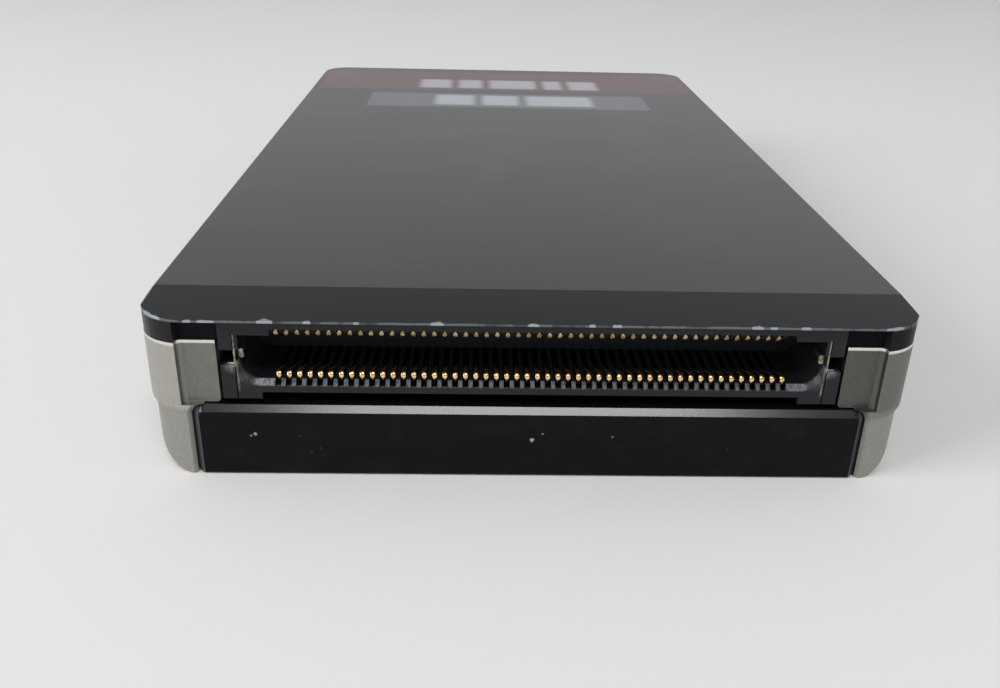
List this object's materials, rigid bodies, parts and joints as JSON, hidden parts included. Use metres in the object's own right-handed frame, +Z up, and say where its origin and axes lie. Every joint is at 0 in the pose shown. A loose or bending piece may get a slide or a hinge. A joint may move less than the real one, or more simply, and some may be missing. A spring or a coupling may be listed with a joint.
{
  "type": "solid-state capture drive",
  "caption": "Flat removable storage drive with a lid ramp, satin side frame, bevelled front plate and a comb-ribbed docking connector.",
  "frame": {"origin": "centre of the underside's bounding box, at the level of the surface it rests on", "axes": "+Z up, the docking connector faces -Y, +X to the right as seen from the docking end"},
  "size_m": [0.0744, 0.131, 0.0168],
  "materials": {
    "black_lid": "satin black coat, worn through to bare metal in chips along the ramp's lower edge",
    "satin_silver": "satin",
    "black_floor": "satin black coat",
    "dark_grey_moulding": "fine moulded matt",
    "gold_contact": "gold plated, polished",
    "clip_metal": "dull plated",
    "steel_screw": "plain",
    "green_board": "solder mask",
    "amber_film": "satin film",
    "black_package": "moulded matt",
    "heat_pad": "soft matt",
    "ferrite_grey": "matt",
    "amber_capacitor": "moulded satin",
    "black_socket": "moulded",
    "brass_post": "turned",
    "black_screw": "black oxide"
  },
  "bodies": {
    "root": {"top_cover": "black_lid", "side_frame": "satin_silver", "bottom_cover": "black_floor", "connector_housing": "dark_grey_moulding", "upper_contacts": "gold_contact", "lower_contacts": "gold_contact", "left_ground_clip": "clip_metal", "right_ground_clip": "clip_metal", "tail_comb": "dark_grey_moulding", "connector_screws": "steel_screw", "main_board": "green_board", "insulator_sheet": "amber_film", "board_screws": "steel_screw", "bridge_chip": "black_package", "bridge_heat_pad": "heat_pad", "power_inductors": "ferrite_grey", "hold_up_capacitors": "amber_capacitor", "left_module_socket": "black_socket", "right_module_socket": "black_socket", "left_module_board": "green_board", "right_module_board": "green_board", "left_module_controller": "black_package", "right_module_controller": "black_package", "left_memory_chips": "black_package", "right_memory_chips": "black_package", "left_heat_pad": "heat_pad", "right_heat_pad": "heat_pad", "module_posts": "brass_post", "module_screws": "steel_screw", "cover_screws": "black_screw"}
  },
  "joints": []
}
